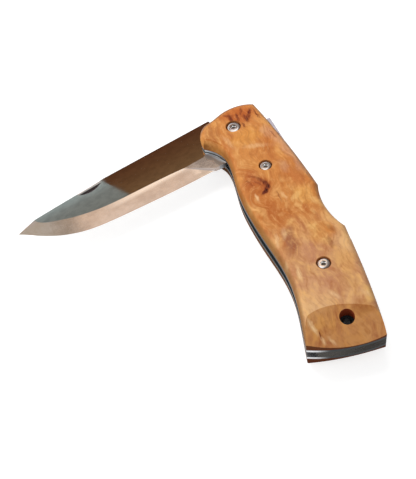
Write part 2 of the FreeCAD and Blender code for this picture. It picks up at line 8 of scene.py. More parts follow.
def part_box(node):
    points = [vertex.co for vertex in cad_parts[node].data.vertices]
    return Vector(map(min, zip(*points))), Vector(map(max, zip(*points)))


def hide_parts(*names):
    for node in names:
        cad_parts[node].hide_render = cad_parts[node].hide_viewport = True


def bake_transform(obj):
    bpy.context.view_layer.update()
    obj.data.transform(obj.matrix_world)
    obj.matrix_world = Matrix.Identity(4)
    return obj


# Looks of a lock-back folding knife with wooden scales, lying half open on its far scale.
# The frame is in metres: +X from the blade pivot to the butt, +Y to the handle's back, +Z up.
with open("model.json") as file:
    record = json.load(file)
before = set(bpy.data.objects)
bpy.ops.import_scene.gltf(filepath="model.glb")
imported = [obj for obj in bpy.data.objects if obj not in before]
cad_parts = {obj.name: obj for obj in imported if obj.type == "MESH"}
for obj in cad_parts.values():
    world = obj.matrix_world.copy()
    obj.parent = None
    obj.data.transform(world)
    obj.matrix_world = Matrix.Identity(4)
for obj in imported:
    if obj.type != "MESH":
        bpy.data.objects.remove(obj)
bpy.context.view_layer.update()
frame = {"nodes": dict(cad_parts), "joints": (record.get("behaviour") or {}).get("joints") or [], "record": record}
nodes = frame["nodes"]

MM = 0.001
UP = Vector((0, 0, 1))
WHITE = (1, 1, 1, 1)

# Camera of the photograph, worked out from the knife's own outline
CAMERA_PLACE = Vector((159.87, -52.82, 221.35)) * MM
CAMERA_AIM = Vector((-8.38, -29.63, 0)) * MM
CAMERA_ROLL = math.radians(13.5)
CAMERA_NEAR = 0.01
FOCAL_PIXELS = 735
IMAGE_HEIGHT = 479
SENSOR = 36

# The blade's pivot, its direction at rest and the height of its upper side
blade_joint = [joint for joint in frame["joints"] if joint["name"] == "blade_pivot"][0]
PIVOT = Vector(blade_joint["pos_m"])
BLADE_TURN = math.radians(blade_joint["range_deg"][0])
BLADE_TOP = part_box("blade")[1].z

# Heights in millimetres: the near scale's top face, the middle of the slot and the slot's half width
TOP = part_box("scale_near")[1].z / MM
MIDDLE = PIVOT.z / MM
SLOT_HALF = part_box("back_spacer")[1].z / MM - MIDDLE

# Plan place in millimetres of the lanyard hole
mounts = {mount["name"]: mount for mount in frame["record"]["mounts"]}
LANYARD = tuple(number / MM for number in mounts["lanyard_bore"]["pos_m"][:2])

# Middle of each screw's lit patch, which the painted shade on the rest of the head leaves bright, in head radii
# from the screw's axis
LIT_PATCH_SHIFTS = {
    "pivot_screw_near": (0.2, -0.4),
    "mid_screw_near": (0.0, -0.45),
    "rear_screw_near": (-0.25, -0.4),
}
# Plan places in millimetres of the screws
SCREWS = {name: (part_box(name)[0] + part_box(name)[1]).to_2d() / 2 / MM for name in LIT_PATCH_SHIFTS}

# Half height in millimetres of a patch that reaches through the whole knife
TALL = 1000.0
# Softness of a round mask's rim
RIM_SOFTNESS = 0.02
# Detail of the clouds that bend other marks, and the middle of their colours
BEND_DETAIL = 2.0
CLOUD_MIDDLE = (0.5, 0.5, 0.5)
# Range of values that a cloud has on most of a surface
SPREAD = (0.3, 0.7)


def linear(red, green, blue):
    """Linear colour of an 8-bit display colour."""
    def channel(value):
        share = value / 255
        return share / 12.92 if share <= 0.04045 else ((share + 0.055) / 1.055) ** 2.4
    return (channel(red), channel(green), channel(blue), 1)


class Shader:
    """One node material, with short calls that add its nodes."""

    def __init__(self, name):
        self.material = bpy.data.materials.new(name)
        self.material.use_nodes = True
        self.tree = self.material.node_tree
        self.tree.nodes.clear()

    def add(self, kind, inputs=None, **settings):
        """Add a node. An input is a plain value or another node's output."""
        node = self.tree.nodes.new("ShaderNode" + kind)
        for name, setting in settings.items():
            setattr(node, name, setting)
        for key, value in (inputs or {}).items():
            if isinstance(value, bpy.types.NodeSocket):
                self.tree.links.new(value, node.inputs[key])
            else:
                node.inputs[key].default_value = value
        return node

    def math(self, operation, *values):
        inputs = dict(enumerate(values))
        return self.add("Math", inputs, operation=operation).outputs[0]

    def size(self, value):
        """Value without its sign."""
        return self.math("ABSOLUTE", value)

    def both(self, *masks):
        """Product of masks."""
        product = masks[0]
        for mask in masks[1:]:
            product = self.math("MULTIPLY", product, mask)
        return product

    def most(self, *masks):
        """Largest of masks."""
        largest = masks[0]
        for mask in masks[1:]:
            largest = self.math("MAXIMUM", largest, mask)
        return largest

    def vector(self, operation, *values):
        inputs = dict(enumerate(values))
        return self.add("VectorMath", inputs, operation=operation).outputs[0]

    def scaled(self, vector, factor):
        return self.add("VectorMath", {0: vector, "Scale": factor}, operation="SCALE").outputs[0]

    def split(self, vector):
        return self.add("SeparateXYZ", {0: vector}).outputs

    def mix(self, share, first, second, blend="MIX"):
        """Colour between two, by a share."""
        inputs = {0: share, 6: first, 7: second}
        return self.add("Mix", inputs, data_type="RGBA", blend_type=blend, clamp_factor=True).outputs[2]

    def blend(self, share, first, second):
        """Number between two, by a share."""
        return self.add("Mix", {0: share, 2: first, 3: second}, data_type="FLOAT").outputs[0]

    def step(self, value, start, end, full=1.0, before=0.0):
        """Smooth step: before where the value is at start, full where it is at end."""
        inputs = {"Value": value, "From Min": start, "From Max": end, "To Min": before, "To Max": full}
        return self.add("MapRange", inputs, interpolation_type="SMOOTHSTEP").outputs[0]

    def noise(self, vector, sizes, detail=3.0, roughness=0.55):
        """Cloud of the given sizes along the axes, in the vector's units."""
        grain = self.vector("DIVIDE", vector, sizes)
        inputs = {"Vector": grain, "Scale": 1.0, "Detail": detail, "Roughness": roughness}
        return self.add("TexNoise", inputs).outputs

    def cloud(self, vector, *looks):
        """Values of a cloud with the given sizes, detail and roughness."""
        return self.noise(vector, *looks)["Fac"]

    def wandering(self, vector, size, reach):
        """Places moved about by a cloud of that size."""
        colour = self.noise(vector, (size, size, size), BEND_DETAIL)["Color"]
        shift = self.vector("SUBTRACT", colour, CLOUD_MIDDLE)
        return self.vector("ADD", vector, self.scaled(shift, reach))

    def place(self):
        """Place on the piece, in millimetres of the frame."""
        return self.scaled(self.add("TexCoord").outputs["Object"], 1 / MM)

    def from_middle(self, height):
        """Distance in millimetres from the middle of the slot, up or down."""
        return self.size(self.math("SUBTRACT", height, MIDDLE))

    def normal(self):
        """Direction that the surface faces, in the frame."""
        return self.split(self.add("TexCoord").outputs["Normal"])

    def spot(self, vector, centre, sizes, turn=0.0):
        """Oval patch: 1 at its centre, 0 at its rim."""
        rotation = (0, 0, math.radians(turn))
        inputs = {"Vector": vector, "Location": centre, "Rotation": rotation, "Scale": sizes}
        local = self.add("Mapping", inputs, vector_type="TEXTURE").outputs[0]
        return self.add("TexGradient", {"Vector": local}, gradient_type="SPHERICAL").outputs["Fac"]

    def streak(self, vector, start, end, width, depth):
        """Long thin patch on the near scale's top face."""
        run = Vector(end) - Vector(start)
        middle = (Vector(end) + Vector(start)) / 2
        turn = math.degrees(math.atan2(run.y, run.x))
        return self.spot(vector, (*middle, TOP), (run.length / 2 + width, width, depth), turn)

    def near(self, vector, centre, radius):
        """1 within a radius of an upright axis, 0 beyond."""
        patch = self.spot(vector, (*centre, MIDDLE), (2 * radius, 2 * radius, TALL))
        return self.step(patch, 0.5 - RIM_SOFTNESS, 0.5 + RIM_SOFTNESS)

    def bump(self, height, distance, strength):
        inputs = {"Height": height, "Distance": distance, "Strength": strength}
        return self.add("Bump", inputs).outputs[0]

    def finish(self, **inputs):
        """Material with a principled surface of the given inputs, spaces for underscores."""
        sockets = {name.replace("_", " "): value for name, value in inputs.items()}
        return self.output(self.add("BsdfPrincipled", sockets))

    def output(self, surface):
        """Material with a node as its surface."""
        output = self.add("OutputMaterial")
        self.tree.links.new(surface.outputs[0], output.inputs["Surface"])
        return self.material


# Figure of the near scale's top face, in millimetres of the frame.
# Broad patches: middle, half sizes, turn, display colour, strength
WOOD_PATCHES = [
    ((-52.0, 0.5), (6.5, 11.0), 0, (196, 102, 34), 0.8),
    ((-45.0, -13.5), (9.0, 5.0), 0, (188, 118, 58), 0.7),
    ((-38.0, -1.5), (6.0, 10.0), 0, (222, 150, 66), 0.6),
    ((-37.6, 6.7), (4.5, 3.5), 0, (218, 160, 116), 0.65),
    ((-27.0, -1.5), (7.0, 9.0), 0, (202, 124, 58), 0.55),
    ((-24.0, 10.6), (18.0, 3.0), 10, (216, 160, 122), 0.7),
    ((-17.5, 5.7), (4.0, 3.0), 0, (210, 156, 116), 0.5),
    ((-9.5, 8.0), (9.0, 5.0), 0, (204, 124, 64), 0.5),
    ((-16.5, -7.0), (8.0, 5.0), 15, (176, 84, 34), 0.75),
    ((-2.5, 7.5), (6.5, 5.0), 0, (230, 164, 84), 0.8),
    ((1.5, -6.0), (8.0, 5.0), 0, (186, 100, 40), 0.8),
    ((15.5, -5.0), (9.0, 4.0), -10, (160, 98, 68), 0.85),
    ((16.0, 5.0), (8.0, 5.0), 0, (216, 146, 72), 0.6),
    ((15.9, 9.7), (5.0, 3.0), 0, (216, 138, 60), 0.7),
    ((22.3, -1.5), (7.0, 5.0), 0, (198, 134, 100), 0.55),
    ((30.0, 8.5), (8.0, 4.5), 0, (224, 164, 94), 0.6),
    ((37.0, -5.0), (8.0, 6.0), 0, (224, 170, 124), 0.6),
    ((35.0, 0.0), (5.0, 3.5), 0, (198, 138, 102), 0.55),
    ((39.0, 6.6), (5.0, 4.0), 0, (206, 150, 94), 0.5),
    ((43.0, -6.0), (4.0, 9.0), 0, (230, 182, 132), 0.55),
    ((45.5, 10.0), (4.0, 3.0), 0, (236, 184, 108), 0.7),
    ((49.5, 6.5), (4.0, 6.0), 0, (176, 112, 54), 0.6),
]
# Dark and pale streaks: from, to, half width, strength
DARK_STREAKS = [
    ((-52.6, 5.6), (-46.2, 2.2), 1.1, 1.0),
    ((-50.0, 1.8), (-46.0, 2.2), 1.0, 0.9),
    ((-52.4, -0.6), (-46.8, -1.2), 0.9, 0.9),
    ((-52.2, -3.8), (-48.2, -3.4), 1.0, 0.8),
    ((-46.4, -0.2), (-43.4, 0.1), 0.7, 0.7),
    ((-54.6, 2.4), (-50.4, 0.8), 0.8, 0.6),
    ((-53.6, -6.5), (-51.6, -2.5), 0.8, 0.5),
    ((-52.8, 6.4), (-45.3, 6.8), 0.35, 0.85),
    ((-48.7, 7.0), (-45.0, 7.4), 0.3, 0.7),
    ((-38.2, 7.9), (-31.8, 9.3), 0.35, 0.5),
    ((-18.8, -8.0), (-16.4, -5.2), 0.5, 0.45),
    ((-16.8, -5.4), (-13.4, -3.4), 0.9, 0.7),
    ((-13.8, -3.4), (-10.6, -2.9), 1.2, 0.9),
    ((-11.2, -2.9), (-9.2, -4.3), 1.4, 1.0),
    ((-9.4, -4.0), (-8.4, -5.9), 1.1, 1.0),
    ((-17.0, -9.5), (-13.0, -7.6), 0.5, 0.4),
    ((-15.5, -6.6), (-12.0, -4.6), 0.4, 0.4),
    ((-7.8, -0.9), (-1.0, -1.2), 0.4, 0.5),
    ((14.8, 9.6), (17.4, 10.4), 1.4, 0.3),
    ((19.5, 7.5), (24.0, 7.0), 1.2, 0.35),
    ((51.0, -9.9), (54.0, -10.5), 0.4, 0.9),
]
PALE_STREAKS = [
    ((-33.6, -4.8), (-30.4, 5.4), 1.8, 0.4),
    ((-43.6, -9.9), (-33.0, -7.4), 1.5, 0.35),
    ((-9.4, -8.6), (-5.4, -8.5), 0.8, 0.75),
    ((-6.6, 0.4), (-1.8, 1.0), 0.9, 0.55),
    ((10.6, -8.4), (16.9, -10.0), 1.0, 0.65),
    ((9.6, -5.2), (14.5, -6.6), 1.4, 0.5),
    ((23.0, -10.0), (28.0, -11.1), 1.0, 0.95),
    ((26.0, -7.0), (33.0, -8.0), 1.1, 0.85),
    ((39.4, -1.8), (43.8, 1.4), 1.2, 0.6),
    ((43.6, 8.6), (47.0, 10.6), 1.6, 0.55),
    ((46.1, -12.2), (53.0, -10.7), 1.2, 1.0),
    ((53.4, -10.2), (55.8, -10.0), 0.9, 0.9),
    ((54.2, -8.0), (57.0, -6.8), 1.0, 0.9),
]
# Depth in millimetres of the figure below the top face, and of its deeper marks.
# Pale streaks that start behind FACET_START are deeper ones, because the facet falls away there.
FIGURE_DEPTH = 9.0
DEEP_FIGURE = 27.0
FACET_START = 46.0
# Middle and half sizes of the knot and of the mottled gold, and the grain's turn at the knot in radians
KNOT = (-13.0, -8.0)
KNOT_SIZES = (12.0, 10.0)
KNOT_TURN = 1.6
GOLD = (9.0, 4.0)
GOLD_SIZES = (26.0, 15.0)
# Halo of a dark streak: share of the streak's half width, margin in millimetres, share of its strength
HALO_SHARE = 2.2
HALO_MARGIN = 0.5
HALO_STRENGTH = 0.54

# Clouds of the wood: sizes along, across and through the handle in millimetres, detail, and the roughness
# where it isn't the usual one
BROAD = ((26.0, 11.0, 12.0), 2.0)
MEDIUM = ((9.0, 4.5, 6.0), 3.0)
GRAIN = ((20.0, 1.3, 2.0), 4.0)
WISP = ((6.0, 1.3, 2.5), 3.0)
FLECK = ((2.0, 1.2, 2.0), 2.0)
CURL = ((3.6, 3.0, 3.6), 2.5, 0.6)
STRAND = ((4.0, 0.5, 2.0), 3.0)
# Bends of the wood's marks in millimetres: size, reach
GRAIN_BEND = (20.0, 14.0)
FLECK_BEND = (4.0, 3.0)
CURL_BEND = (8.0, 5.0)
PATCH_BEND = (6.0, 7.0)
STRAND_BEND = (3.0, 1.5)
STREAK_BEND = (1.6, 1.3)

# Colours of the wood. Pairs go from dark clouds to pale ones, and the deep pair from the front to the rear
FRONT_SHADES = (linear(198, 116, 52), linear(224, 152, 78))
REAR_SHADES = (linear(202, 142, 98), linear(230, 180, 126))
DEEP_SHADES = (linear(178, 96, 44), linear(190, 126, 92))
BRIGHT_SHADE = linear(242, 188, 116)
LINE_SHADE = linear(160, 86, 42)
STREAK_SHADE = linear(248, 206, 152)
# Painted shade on the wood's faces towards the belly
BELLY_PAINTED_SHADE = linear(150, 100, 48)
# Painted shade on the wood's edges at the back and front, near the liners and on the far scale
EDGE_PAINTED_SHADE = linear(92, 58, 32)
# Dark end grain of the butt end, partly its own tone and partly painted shade
END_GRAIN_AND_SHADE = linear(112, 54, 26)
# Painted light on the walls of the screws' seats and the lanyard hole, lightened against their shade
SEAT_WALL_PAINTED_LIGHT = linear(206, 132, 76)
HOLE_WALL_PAINTED_LIGHT = linear(150, 66, 34)
# Factors of the wood's colour: painted shade on the facet, and around dark streaks and in them
FACET_PAINTED_SHADE = (0.8, 0.62, 0.42, 1)
HALO_FACTOR = (0.72, 0.44, 0.28, 1)
CORE_FACTOR = (0.24, 0.08, 0.06, 1)

# Steps of the wood, in the order that Shader.step takes: start, end, full, before.
# By a cloud's value
PALE_STEP = (0.32, 0.68)
DEEP_STEP = (0.5, 0.72, 0.8)
BRIGHT_STEP = (0.5, 0.28, 0.7)
LINE_STEP = (0.48, 0.7)
STRAND_STEP = (0.35, 0.6, 1.0, 0.5)
WOOD_ROUGHNESS = (*SPREAD, 0.48, 0.36)
# From a patch's rim inwards
PATCH_RIM = (0.0, 0.7)
GOLD_RIM = (0.15, 0.6)
STREAK_RIM = (0.0, 0.9)
CORE_RIM = (0.0, 0.6)
# By millimetres along the handle. The rear's step wanders with the broad cloud, by REAR_WANDER at most
REAR_ALONG = (12.0, 40.0)
REAR_WANDER = 24.0
CLOUD_ALONG = (-30.0, 5.0, 1.0, 0.4)
LINE_ALONG = (-30.0, 5.0, 0.2, 0.4)
MOTTLE_ALONG = (6.0, 30.0, 0.35)
BELLY_ALONG = (-42.0, -30.0, 0.65)
BACK_ALONG = (-15.0, 15.0, 0.25, 0.6)
# By the height in millimetres, and by the distance from the slot's middle
FAR_HEIGHT = (MIDDLE, MIDDLE - 1.0, 0.8)
EDGE_REACH = (3.3, 2.9, 0.5)
# By how far the wood faces the butt, the back, or up or down
FACET_SLOPE = (0.1, 0.2)
FRONT_SLOPE = (-0.08, -0.4, 0.7)
BUTT_SLOPE = (0.6, 0.9, 0.9)
BELLY_SLOPE = (-0.4, -0.85)
BACK_SLOPE = (0.25, 0.75)
FACET_UPRIGHT = (0.85, 0.9, 0.8)
WALL_UPRIGHT = (0.75, 0.3)

# Small figure in the order in which it is laid on.
# Whether it is on the mottled part only, its cloud, its step by the cloud's value, its display colour
SMALL_FIGURE = [
    (True, "curl", (0.48, 0.72, 0.6), (244, 196, 122)),
    (True, "curl", (0.46, 0.3, 0.5), (184, 112, 56)),
    (False, "wisp", (0.52, 0.74, 0.38), (246, 192, 118)),
    (False, "wisp", (0.48, 0.26, 0.36), (168, 86, 34)),
    (False, "fleck", (0.5, 0.72, 0.22), (240, 186, 116)),
    (False, "fleck", (0.5, 0.28, 0.22), (176, 100, 48)),
]

# Radii in millimetres around the screws' seats and the lanyard hole
SEAT_RADIUS = 3.4
HOLE_RADIUS = 3.0
# Roughness of the wood's walls, its shine, and the depth and strength of its relief
WALL_ROUGHNESS = 0.9
WOOD_SHINE = 0.18
WOOD_RELIEF = (0.03 * MM, 0.25)


def wood_ground(shader, place):
    """Colour of the wood before its streaks: cloudy orange, tan to the rear, mottled gold in the middle."""
    knot = shader.spot(place, (*KNOT, TOP), (*KNOT_SIZES, FIGURE_DEPTH))
    bent = shader.wandering(place, *GRAIN_BEND)
    turned = {"Vector": bent, "Center": (*KNOT, TOP), "Angle": shader.math("MULTIPLY", knot, KNOT_TURN)}
    flow = shader.add("VectorRotate", turned, rotation_type="Z_AXIS").outputs[0]
    broad = shader.cloud(flow, *BROAD)
    medium = shader.cloud(flow, *MEDIUM)
    grain = shader.cloud(flow, *GRAIN)
    small = {
        "wisp": shader.cloud(flow, *WISP),
        "fleck": shader.cloud(shader.wandering(place, *FLECK_BEND), *FLECK),
        "curl": shader.cloud(shader.wandering(place, *CURL_BEND), *CURL),
    }
    along = shader.split(place)[0]
    wander = shader.math("MULTIPLY", broad, REAR_WANDER)
    rear = shader.step(shader.math("ADD", along, wander), *REAR_ALONG)

    pale = shader.step(broad, *PALE_STEP)
    front_colour = shader.mix(pale, *FRONT_SHADES)
    rear_colour = shader.mix(pale, *REAR_SHADES)
    colour = shader.mix(rear, front_colour, rear_colour)
    deep_colour = shader.mix(rear, *DEEP_SHADES)
    cloudy = shader.step(along, *CLOUD_ALONG)
    colour = shader.mix(shader.both(cloudy, shader.step(medium, *DEEP_STEP)), colour, deep_colour)
    colour = shader.mix(shader.both(cloudy, shader.step(medium, *BRIGHT_STEP)), colour, BRIGHT_SHADE)

    ragged = shader.wandering(place, *PATCH_BEND)
    for middle, sizes, turn, shade, strength in WOOD_PATCHES:
        patch = shader.spot(ragged, (*middle, TOP), (*sizes, FIGURE_DEPTH), turn)
        colour = shader.mix(shader.step(patch, *PATCH_RIM, strength), colour, linear(*shade))

    golden = shader.spot(ragged, (*GOLD, TOP), (*GOLD_SIZES, DEEP_FIGURE))
    mottled = shader.most(shader.step(golden, *GOLD_RIM), shader.step(along, *MOTTLE_ALONG))
    for only_mottled, name, step, shade in SMALL_FIGURE:
        share = shader.step(small[name], *step)
        if only_mottled:
            share = shader.both(mottled, share)
        colour = shader.mix(share, colour, linear(*shade))
    lines = shader.both(shader.step(grain, *LINE_STEP), shader.step(along, *LINE_ALONG))
    colour = shader.mix(lines, colour, LINE_SHADE)
    return colour, grain


def wood_streaks(shader, place, colour):
    """Pale streaks, and dark ones with a brown halo. The streaks are broken into strands."""
    strand = shader.cloud(shader.wandering(place, *STRAND_BEND), *STRAND)
    broken = shader.step(strand, *STRAND_STEP)
    ragged = shader.wandering(place, *STREAK_BEND)
    for start, end, width, strength in PALE_STREAKS:
        depth = FIGURE_DEPTH if start[0] < FACET_START else DEEP_FIGURE
        line = shader.streak(ragged, start, end, width, depth)
        share = shader.both(broken, shader.step(line, *STREAK_RIM, strength))
        colour = shader.mix(share, colour, STREAK_SHADE)
    for start, end, width, strength in DARK_STREAKS:
        halo = shader.streak(ragged, start, end, HALO_SHARE * width + HALO_MARGIN, FIGURE_DEPTH)
        share = shader.step(halo, *STREAK_RIM, HALO_STRENGTH * strength)
        colour = shader.mix(share, colour, HALO_FACTOR, "MULTIPLY")
        core = shader.streak(ragged, start, end, width, FIGURE_DEPTH)
        share = shader.both(broken, shader.step(core, *CORE_RIM, strength))
        colour = shader.mix(share, colour, CORE_FACTOR, "MULTIPLY")
    return colour


def wood():
    """Oiled figured wood with dark end grain that also carries painted shade at the butt end, painted shade on the
    facet at the butt, on the faces towards the belly and on the edges at the back, the front, the liners and the
    far scale, and painted light on the walls of the screws' seats and the lanyard hole.
    """
    shader = Shader("figured_wood")
    place = shader.place()
    along, _, height = shader.split(place)
    toward_butt, toward_back, upward = shader.normal()
    upright = shader.size(upward)
    colour, grain = wood_ground(shader, place)
    facet = shader.both(shader.step(toward_butt, *FACET_SLOPE), shader.step(upright, *FACET_UPRIGHT))
    # Painted shade: the facet at the butt is darkened as if it turned away from the light
    colour = shader.mix(facet, colour, FACET_PAINTED_SHADE, "MULTIPLY")
    colour = wood_streaks(shader, place, colour)

    wall = shader.step(upright, *WALL_UPRIGHT)
    # Painted shade on the faces that turn to the belly
    belly = shader.both(shader.step(toward_back, *BELLY_SLOPE), shader.step(along, *BELLY_ALONG))
    colour = shader.mix(belly, colour, BELLY_PAINTED_SHADE)
    # Painted shade at the back and front edges, and on walls near the liners and low on the far scale
    edge = shader.step(shader.from_middle(height), *EDGE_REACH)
    far = shader.step(height, *FAR_HEIGHT)
    back = shader.both(shader.step(toward_back, *BACK_SLOPE), shader.step(along, *BACK_ALONG))
    front = shader.step(toward_butt, *FRONT_SLOPE)
    dark = shader.most(back, front, shader.both(wall, shader.most(edge, far)))
    colour = shader.mix(dark, colour, EDGE_PAINTED_SHADE)
    # Butt end: dark end grain, partly its own tone and partly painted shade
    colour = shader.mix(shader.step(toward_butt, *BUTT_SLOPE), colour, END_GRAIN_AND_SHADE)
    # Painted light: the walls of the screws' seats and the lanyard hole are lightened against their shade
    seats = shader.most(*[shader.near(place, centre, SEAT_RADIUS) for centre in SCREWS.values()])
    colour = shader.mix(shader.both(wall, seats), colour, SEAT_WALL_PAINTED_LIGHT)
    hole = shader.near(place, LANYARD, HOLE_RADIUS)
    colour = shader.mix(shader.both(wall, hole), colour, HOLE_WALL_PAINTED_LIGHT)

    rough = shader.blend(wall, shader.step(grain, *WOOD_ROUGHNESS), WALL_ROUGHNESS)
    relief = shader.bump(grain, *WOOD_RELIEF)
    return shader.finish(Base_Color=colour, Roughness=rough, Normal=relief, Specular_IOR_Level=WOOD_SHINE)


# Clouds of the blade: sizes along, across and through it in millimetres, detail, roughness
GRINDING = ((0.12, 5.0, 5.0), 3.0, 0.6)
POLISHING = ((9.0, 0.3, 1.0), 3.0, 0.6)
BLADE_CLOUD = ((6.0, 4.0, 6.0), 4.0, 0.6)
SMUDGE = ((3.5, 2.2, 2.0), 3.0, 0.55)
# Tints of the blade, in pairs by the value of a cloud
POLISHED_TINTS = ((0.675, 0.675, 0.675, 1), (0.795, 0.795, 0.79, 1))
SATIN_TINTS = ((0.6, 0.54, 0.5, 1), (0.72, 0.66, 0.62, 1))
RICASSO_TINTS = ((0.62, 0.6, 0.58, 1), (0.86, 0.84, 0.82, 1))
# Painted highlight just below the ridge
RIDGE_GLINT_TINT = (1.0, 1.0, 0.98, 1)
PLUNGE_TINT = (0.46, 0.38, 0.34, 1)
# Painted shade on the steel beside the handle
HANDLE_SHADE_TINT = (0.4, 0.42, 0.44, 1)
# Painted highlight on the nail nick's rim, and painted shade in the nick
NICK_GLINT_TINT = (0.95, 0.94, 0.95, 1)
NICK_SHADE_TINT = (0.04, 0.03, 0.03, 1)
# Patches of the nail nick, and of painted shade on the steel beside the handle, which is rougher there too.
# Middle and half sizes in millimetres from the pivot, turn
NICK_PATCH = ((60.6, -11.05, 0), (6.5, 1.2, 9.0), 4.0)
HANDLE_SHADE_PATCHES = [
    ((13.6, 3.4, 0), (3.6, 2.2, 9.0), -58.0),
    ((12.0, 7.6, 0), (4.8, 2.0, 9.0), -77.0),
]

# Steps of the blade, in the order that Shader.step takes: start, end, full, before.
# By millimetres along and across the blade from its pivot
RICASSO_ALONG = (25.0, 20.0)
PLUNGE_ALONG = (34.0, 30.0)
# Place of the painted highlight just below the ridge
RIDGE_GLINT_ALONG = (23.0, 26.0)
RIDGE_GLINT_FADE = (66.0, 40.0)
RIDGE_GLINT_ACROSS = (3.8, 2.0)
TIP_ALONG = (74.0, 88.0, 0.8)
# By how far the blade faces up or down, or along itself
FLAT_LEAN = (0.9988, 0.9996)
BEVEL_LEAN = (0.9996, 0.999)
RIDGE_GLINT_LEAN = (0.9995, 0.998)
NICK_GLINT_LEAN = (0.99, 0.95)
NICK_SHADE_LEAN = (0.75, 0.6)
PLUNGE_SLOPE = (0.03, 0.08)
# From a patch's rim inwards
NICK_RIM = (0.0, 0.1)
HANDLE_SHADE_RIM = (0.05, 0.45)
# By a cloud's value
RICASSO_STEP = (0.35, 0.65)
BEVEL_ROUGHNESS = (*SPREAD, 0.24, 0.16)
FLAT_ROUGHNESS = (*SPREAD, 0.05, 0.02)

# Roughness of the ricasso and of the patches of painted shade beside the handle
RICASSO_ROUGHNESS = 0.14
HANDLE_SHADE_ROUGHNESS = 0.4
# Share of the polishing marks in the relief, and the relief's depth and strength
POLISHING_SHARE = 0.1
BLADE_RELIEF = (0.006 * MM, 0.12)


def blade_steel():
    """Polished flats with faint clouds, satin bevels and a mottled ricasso, with a painted highlight below the
    ridge, painted shade on the steel beside the handle and in the nail nick, and a painted highlight on the nick's
    rim.
    """
    shader = Shader("blade_steel")
    facing = shader.normal()
    lean = shader.size(facing[2])
    toward_tip = shader.math("ADD", shader.math("MULTIPLY", facing[0], math.cos(BLADE_TURN)),
                             shader.math("MULTIPLY", facing[1], math.sin(BLADE_TURN)))
    turn = {"Vector": shader.place(), "Center": PIVOT / MM, "Angle": -BLADE_TURN}
    level = shader.add("VectorRotate", turn, rotation_type="Z_AXIS").outputs[0]
    from_pivot = shader.vector("SUBTRACT", level, PIVOT / MM)
    along, across = shader.split(from_pivot)[:2]
    grinding = shader.cloud(from_pivot, *GRINDING)
    polishing = shader.cloud(from_pivot, *POLISHING)
    cloud = shader.cloud(from_pivot, *BLADE_CLOUD)
    smudge = shader.cloud(from_pivot, *SMUDGE)

    flat = shader.step(lean, *FLAT_LEAN)
    bevel = shader.step(lean, *BEVEL_LEAN)
    ricasso = shader.both(shader.step(along, *RICASSO_ALONG), bevel)
    slope = shader.step(shader.size(toward_tip), *PLUNGE_SLOPE)
    plunge = shader.both(slope, shader.step(along, *PLUNGE_ALONG))
    # Painted highlight: a lighter tint just below the ridge, for the glint of its rounded edge
    ridge_glint_length = shader.both(shader.step(along, *RIDGE_GLINT_ALONG), shader.step(along, *RIDGE_GLINT_FADE))
    ridge_glint = shader.both(ridge_glint_length, shader.step(across, *RIDGE_GLINT_ACROSS), shader.step(lean, *RIDGE_GLINT_LEAN))
    tip = shader.both(shader.step(along, *TIP_ALONG), bevel)
    # Painted shade on the steel beside the handle, which is also rougher there
    patches = [shader.spot(from_pivot, *patch) for patch in HANDLE_SHADE_PATCHES]
    handle_shade = shader.step(shader.most(*patches), *HANDLE_SHADE_RIM)
    nick = shader.step(shader.spot(from_pivot, *NICK_PATCH), *NICK_RIM)

    bevel_rough = shader.step(grinding, *BEVEL_ROUGHNESS)
    flat_rough = shader.step(cloud, *FLAT_ROUGHNESS)
    rough = shader.blend(flat, bevel_rough, flat_rough)
    rough = shader.blend(ricasso, rough, RICASSO_ROUGHNESS)
    rough = shader.blend(handle_shade, rough, HANDLE_SHADE_ROUGHNESS)
    marks = shader.blend(flat, grinding, shader.math("MULTIPLY", polishing, POLISHING_SHARE))
    relief = shader.bump(marks, *BLADE_RELIEF)

    polished = shader.mix(shader.step(smudge, *SPREAD), *POLISHED_TINTS)
    satin = shader.mix(shader.step(cloud, *SPREAD), *SATIN_TINTS)
    mottled = shader.mix(shader.step(smudge, *RICASSO_STEP), *RICASSO_TINTS)
    tint = shader.mix(flat, satin, polished)
    tint = shader.mix(ridge_glint, tint, RIDGE_GLINT_TINT)
    tint = shader.mix(tip, tint, WHITE)
    tint = shader.mix(ricasso, tint, mottled)
    tint = shader.mix(plunge, tint, PLUNGE_TINT)
    tint = shader.mix(handle_shade, tint, HANDLE_SHADE_TINT)
    # Painted highlight on the nail nick's rim, and painted shade inside the nick
    tint = shader.mix(shader.both(nick, shader.step(lean, *NICK_GLINT_LEAN)), tint, NICK_GLINT_TINT)
    tint = shader.mix(shader.both(nick, shader.step(lean, *NICK_SHADE_LEAN)), tint, NICK_SHADE_TINT)
    return shader.finish(Base_Color=tint, Metallic=1.0, Roughness=rough, Normal=relief)


# Cloud of the plain metals, and the shares of their roughness and tint by its value
METAL_CLOUD = ((2.0, 2.0, 2.0), 4.0)
SMOOTH_SHARE = 0.8
ROUGH_SHARE = 1.25
DULL_SHARE = 0.85
# Shine of a metal with painted shade, which in the screws' sockets is also dirt
SHADED_METAL_SHINE = 0.05


def metal(name, tint, roughness, shade_and_dirt=None, dark=None):
    """Plain metal with faint clouds, dark where a function of shader and place gives a mask of painted shade,
    which in the screws' sockets is also dirt.
    """
    shader = Shader(name)
    place = shader.place()
    cloud = shader.cloud(place, *METAL_CLOUD)
    rough = shader.step(cloud, *SPREAD, roughness * ROUGH_SHARE, roughness * SMOOTH_SHARE)
    dull = (*[channel * DULL_SHARE for channel in tint[:3]], 1)
    colour = shader.mix(shader.step(cloud, *SPREAD), tint, dull)
    if not shade_and_dirt:
        return shader.finish(Base_Color=colour, Metallic=1.0, Roughness=rough)
    # Mask of painted shade, and of dirt too in the screws' sockets
    mask = shade_and_dirt(shader, place)
    colour = shader.mix(mask, colour, dark)
    bare = shader.math("SUBTRACT", 1.0, mask)
    return shader.finish(Base_Color=colour, Metallic=bare, Roughness=rough, Specular_IOR_Level=SHADED_METAL_SHINE)


